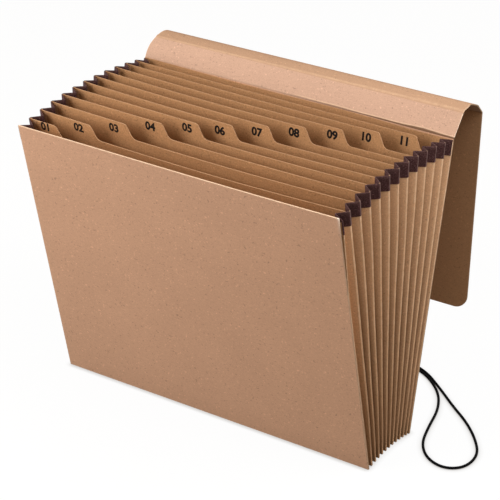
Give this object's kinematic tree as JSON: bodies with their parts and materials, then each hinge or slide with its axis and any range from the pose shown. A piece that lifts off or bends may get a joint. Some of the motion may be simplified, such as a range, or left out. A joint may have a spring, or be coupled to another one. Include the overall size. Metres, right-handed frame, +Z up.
{
  "type": "accordion file folder",
  "caption": "Expanding file of kraft board: pleated pockets with stepped index tabs, standing open like a fan, with a scored flap thrown back and an elastic cord behind.",
  "frame": {"origin": "middle of the folder's box at the floor, flap included and the cord left out", "axes": "+Z up, +X right as seen from the front, the front panel faces -Y and the flap hangs at +Y"},
  "size_m": [0.3722, 0.2234, 0.2711],
  "materials": {
    "cover_board": "matte",
    "divider_board": "matte",
    "gusset_paper": "matte",
    "gusset_tape": "satin",
    "elastic": "matte",
    "eyelet_brass": "satin",
    "clip_steel": "satin"
  },
  "bodies": {
    "rear": {"rear_panel": "cover_board", "rear_liner": "divider_board", "cord_eyelet": "eyelet_brass", "cord_clip": "clip_steel", "elastic_cord": "elastic"},
    "leaf_11": {"divider_11": "divider_board", "gusset_12": "gusset_paper", "gusset_tape_left_12": "gusset_tape", "gusset_tape_right_12": "gusset_tape"},
    "leaf_10": {"divider_10": "divider_board", "gusset_11": "gusset_paper", "gusset_tape_left_11": "gusset_tape", "gusset_tape_right_11": "gusset_tape"},
    "leaf_09": {"divider_09": "divider_board", "gusset_10": "gusset_paper", "gusset_tape_left_10": "gusset_tape", "gusset_tape_right_10": "gusset_tape"},
    "leaf_08": {"divider_08": "divider_board", "gusset_09": "gusset_paper", "gusset_tape_left_09": "gusset_tape", "gusset_tape_right_09": "gusset_tape"},
    "leaf_07": {"divider_07": "divider_board", "gusset_08": "gusset_paper", "gusset_tape_left_08": "gusset_tape", "gusset_tape_right_08": "gusset_tape"},
    "leaf_06": {"divider_06": "divider_board", "gusset_07": "gusset_paper", "gusset_tape_left_07": "gusset_tape", "gusset_tape_right_07": "gusset_tape"},
    "leaf_05": {"divider_05": "divider_board", "gusset_06": "gusset_paper", "gusset_tape_left_06": "gusset_tape", "gusset_tape_right_06": "gusset_tape"},
    "leaf_04": {"divider_04": "divider_board", "gusset_05": "gusset_paper", "gusset_tape_left_05": "gusset_tape", "gusset_tape_right_05": "gusset_tape"},
    "leaf_03": {"divider_03": "divider_board", "gusset_04": "gusset_paper", "gusset_tape_left_04": "gusset_tape", "gusset_tape_right_04": "gusset_tape"},
    "leaf_02": {"divider_02": "divider_board", "gusset_03": "gusset_paper", "gusset_tape_left_03": "gusset_tape", "gusset_tape_right_03": "gusset_tape"},
    "leaf_01": {"divider_01": "divider_board", "gusset_02": "gusset_paper", "gusset_tape_left_02": "gusset_tape", "gusset_tape_right_02": "gusset_tape"},
    "front": {"front_panel": "cover_board", "gusset_01": "gusset_paper", "gusset_tape_left_01": "gusset_tape", "gusset_tape_right_01": "gusset_tape"},
    "riser": {"flap_riser": "cover_board"},
    "roof_1": {"flap_roof_1": "cover_board"},
    "roof_2": {"flap_roof_2": "cover_board"},
    "roof_3": {"flap_roof_3": "cover_board"},
    "cover": {"flap_cover": "cover_board"}
  },
  "joints": [
    {"name": "pocket_12_fold", "type": "hinge", "parent": "rear", "child": "leaf_11", "pos_m": [0, -0.02428, -0.15222], "axis": [1, 0, 0], "range_deg": [-1.3, 1], "deforming": ["gusset_12", "gusset_tape_left_12", "gusset_tape_right_12"]},
    {"name": "pocket_11_fold", "type": "hinge", "parent": "leaf_11", "child": "leaf_10", "pos_m": [0, -0.02428, -0.15222], "axis": [1, 0, 0], "range_deg": [-1.3, 1], "deforming": ["gusset_11", "gusset_tape_left_11", "gusset_tape_right_11"]},
    {"name": "pocket_10_fold", "type": "hinge", "parent": "leaf_10", "child": "leaf_09", "pos_m": [0, -0.02428, -0.15222], "axis": [1, 0, 0], "range_deg": [-1.3, 1], "deforming": ["gusset_10", "gusset_tape_left_10", "gusset_tape_right_10"]},
    {"name": "pocket_09_fold", "type": "hinge", "parent": "leaf_09", "child": "leaf_08", "pos_m": [0, -0.02428, -0.15222], "axis": [1, 0, 0], "range_deg": [-1.3, 1], "deforming": ["gusset_09", "gusset_tape_left_09", "gusset_tape_right_09"]},
    {"name": "pocket_08_fold", "type": "hinge", "parent": "leaf_08", "child": "leaf_07", "pos_m": [0, -0.02428, -0.15222], "axis": [1, 0, 0], "range_deg": [-1.3, 1], "deforming": ["gusset_08", "gusset_tape_left_08", "gusset_tape_right_08"]},
    {"name": "pocket_07_fold", "type": "hinge", "parent": "leaf_07", "child": "leaf_06", "pos_m": [0, -0.02428, -0.15222], "axis": [1, 0, 0], "range_deg": [-1.3, 1], "deforming": ["gusset_07", "gusset_tape_left_07", "gusset_tape_right_07"]},
    {"name": "pocket_06_fold", "type": "hinge", "parent": "leaf_06", "child": "leaf_05", "pos_m": [0, -0.02428, -0.15222], "axis": [1, 0, 0], "range_deg": [-1.3, 1], "deforming": ["gusset_06", "gusset_tape_left_06", "gusset_tape_right_06"]},
    {"name": "pocket_05_fold", "type": "hinge", "parent": "leaf_05", "child": "leaf_04", "pos_m": [0, -0.02428, -0.15222], "axis": [1, 0, 0], "range_deg": [-1.3, 1], "deforming": ["gusset_05", "gusset_tape_left_05", "gusset_tape_right_05"]},
    {"name": "pocket_04_fold", "type": "hinge", "parent": "leaf_04", "child": "leaf_03", "pos_m": [0, -0.02428, -0.15222], "axis": [1, 0, 0], "range_deg": [-1.3, 1], "deforming": ["gusset_04", "gusset_tape_left_04", "gusset_tape_right_04"]},
    {"name": "pocket_03_fold", "type": "hinge", "parent": "leaf_03", "child": "leaf_02", "pos_m": [0, -0.02428, -0.15222], "axis": [1, 0, 0], "range_deg": [-1.3, 1], "deforming": ["gusset_03", "gusset_tape_left_03", "gusset_tape_right_03"]},
    {"name": "pocket_02_fold", "type": "hinge", "parent": "leaf_02", "child": "leaf_01", "pos_m": [0, -0.02428, -0.15222], "axis": [1, 0, 0], "range_deg": [-1.3, 1], "deforming": ["gusset_02", "gusset_tape_left_02", "gusset_tape_right_02"]},
    {"name": "pocket_01_fold", "type": "hinge", "parent": "leaf_01", "child": "front", "pos_m": [0, -0.02428, -0.15222], "axis": [1, 0, 0], "range_deg": [-1.3, 1], "deforming": ["gusset_01", "gusset_tape_left_01", "gusset_tape_right_01"]},
    {"name": "flap_fold", "type": "hinge", "parent": "rear", "child": "riser", "pos_m": [0, 0.06298, 0.24968], "axis": [1, 0, 0], "range_deg": [0, 110]},
    {"name": "roof_1_bend", "type": "hinge", "parent": "riser", "child": "roof_1", "pos_m": [0, 0.07931, 0.26914], "axis": [1, 0, 0], "range_deg": [0, 43]},
    {"name": "roof_2_bend", "type": "hinge", "parent": "roof_1", "child": "roof_2", "pos_m": [0, 0.09191, 0.27069], "axis": [1, 0, 0], "range_deg": [0, 32]},
    {"name": "roof_3_bend", "type": "hinge", "parent": "roof_2", "child": "roof_3", "pos_m": [0, 0.10342, 0.26532], "axis": [1, 0, 0], "range_deg": [0, 27]},
    {"name": "cover_fold", "type": "hinge", "parent": "roof_3", "child": "cover", "pos_m": [0, 0.11124, 0.25531], "axis": [1, 0, 0], "range_deg": [-12, 41.5]}
  ],
  "couplings": [
    {"joint": "pocket_11_fold", "follows": "pocket_12_fold", "ratio": 1},
    {"joint": "pocket_10_fold", "follows": "pocket_12_fold", "ratio": 1},
    {"joint": "pocket_09_fold", "follows": "pocket_12_fold", "ratio": 1},
    {"joint": "pocket_08_fold", "follows": "pocket_12_fold", "ratio": 1},
    {"joint": "pocket_07_fold", "follows": "pocket_12_fold", "ratio": 1},
    {"joint": "pocket_06_fold", "follows": "pocket_12_fold", "ratio": 1},
    {"joint": "pocket_05_fold", "follows": "pocket_12_fold", "ratio": 1},
    {"joint": "pocket_04_fold", "follows": "pocket_12_fold", "ratio": 1},
    {"joint": "pocket_03_fold", "follows": "pocket_12_fold", "ratio": 1},
    {"joint": "pocket_02_fold", "follows": "pocket_12_fold", "ratio": 1},
    {"joint": "pocket_01_fold", "follows": "pocket_12_fold", "ratio": 1}
  ]
}
